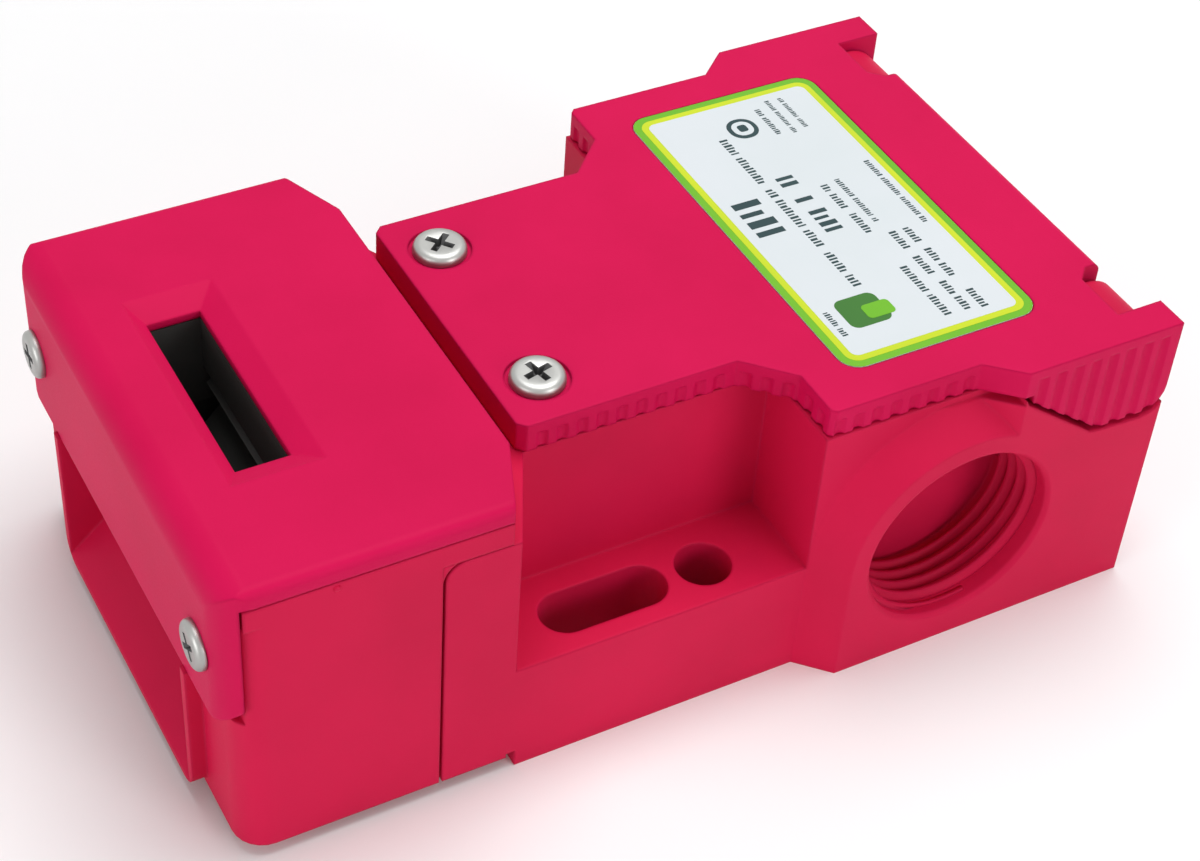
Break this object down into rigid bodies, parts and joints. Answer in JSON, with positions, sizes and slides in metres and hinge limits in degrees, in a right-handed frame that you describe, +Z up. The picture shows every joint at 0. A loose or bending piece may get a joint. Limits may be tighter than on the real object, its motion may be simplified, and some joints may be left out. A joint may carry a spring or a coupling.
{
  "type": "keyed safety interlock switch",
  "caption": "Keyed safety interlock switch: red plastic body with a hinged wiring lid, a head with key slots on top and end, a cam-driven contact block and threaded cable entries",
  "frame": {"origin": "centre of the box's bottom face, on the mounting face", "axes": "X from the key head to the hinged conduit end, Y across the switch, Z up out of the mounting face"},
  "size_m": [0.097, 0.0566, 0.0338],
  "materials": {
    "body_red": "satin crimson glass-filled plastic",
    "lid_red": "satin crimson glass-filled plastic",
    "seal_rubber": "soft black seal rubber",
    "label_print": "printed film with a green and yellow border",
    "plated_steel": "bright zinc plating",
    "cam_black": "black acetal",
    "block_black": "black moulding",
    "carrier_white": "natural acetal",
    "spring_steel": "drawn spring wire",
    "contact_brass": "stamped brass strip"
  },
  "bodies": {
    "body": {"base_housing": "body_red", "lid_gasket": "seal_rubber", "hinge_pins": "plated_steel", "head_housing": "body_red", "head_cap": "lid_red", "key_guide": "cam_black", "cap_screws": "plated_steel", "cam_axle": "plated_steel", "plunger_seal": "seal_rubber", "contact_housing": "block_black", "contact_cover": "block_black", "carrier_spring": "spring_steel", "safety_contacts": "contact_brass", "aux_contacts": "contact_brass", "clamp_washers": "plated_steel", "terminal_screws": "plated_steel", "block_screws": "plated_steel"},
    "lid": {"lid": "lid_red", "label_plate": "label_print", "lid_screws": "plated_steel"},
    "cam": {"cam_wheel": "cam_black"},
    "plunger_set": {"plunger": "carrier_white", "contact_carrier": "carrier_white", "safety_bridge": "contact_brass", "aux_bridge": "contact_brass", "bridge_springs": "spring_steel"}
  },
  "joints": [
    {"name": "lid_hinge", "type": "hinge", "parent": "body", "child": "lid", "pos_m": [0.04435, 0, 0.0272], "axis": [0, 1, 0], "range_deg": [0, 90]},
    {"name": "cam_turn", "type": "hinge", "parent": "body", "child": "cam", "pos_m": [-0.02985, 0, 0.017], "axis": [0, -1, 0], "range_deg": [0, 40]},
    {"name": "plunger_slide", "type": "slide", "parent": "body", "child": "plunger_set", "axis": [-1, 0, 0], "range_m": [0, 0.0032], "deforming": ["carrier_spring"]}
  ],
  "couplings": [
    {"joint": "plunger_slide", "follows": "cam_turn", "m_per_rad": 0.0045837}
  ]
}
